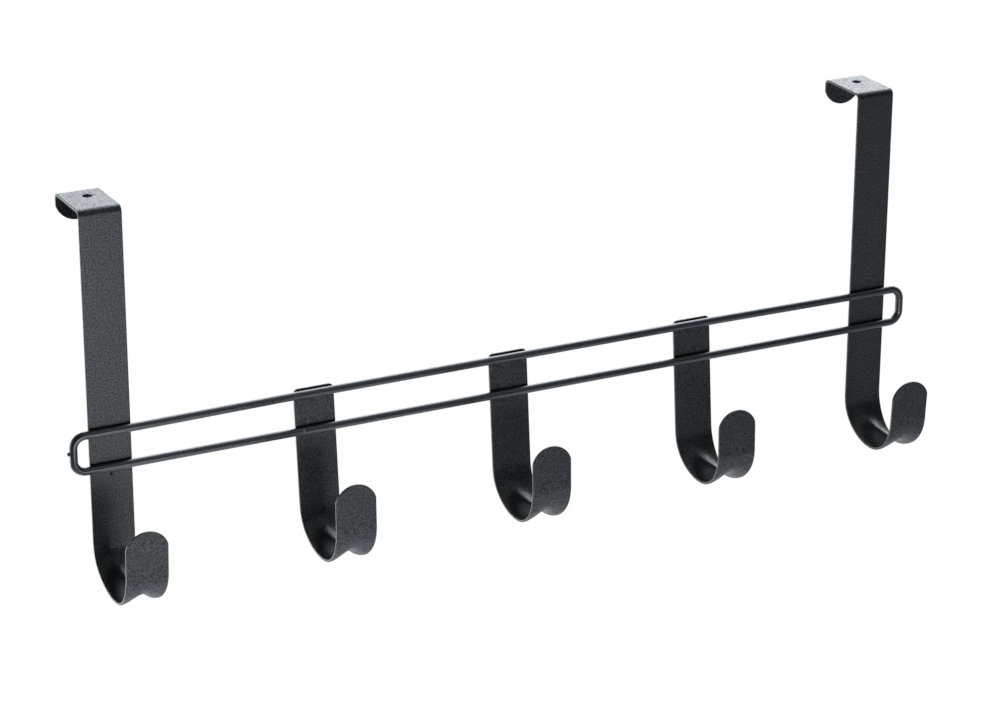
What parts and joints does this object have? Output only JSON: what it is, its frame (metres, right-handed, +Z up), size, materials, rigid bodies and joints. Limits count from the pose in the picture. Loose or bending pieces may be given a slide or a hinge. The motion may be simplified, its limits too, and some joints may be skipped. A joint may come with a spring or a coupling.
{
  "type": "over door hook",
  "caption": "Black over-door hook rack: flat-strip hangers with a folded top and rounded lip, ribbed J hooks and a long wire loop welded in front of the strips.",
  "frame": {"origin": "midway between the two screw holes, on the plane of the plates' undersides, which is the top face of the door", "axes": "+X along the rack to the right as seen from the front, +Y from the front into the door, +Z up"},
  "size_m": [0.5513, 0.0934, 0.2223],
  "materials": {
    "powder_coat": "satin black powder coat with a fine grain"
  },
  "bodies": {
    "root": {"wire_frame": "powder_coat", "left_door_hanger": "powder_coat", "left_hook": "powder_coat", "centre_hook": "powder_coat", "right_hook": "powder_coat", "right_door_hanger": "powder_coat"}
  },
  "joints": []
}
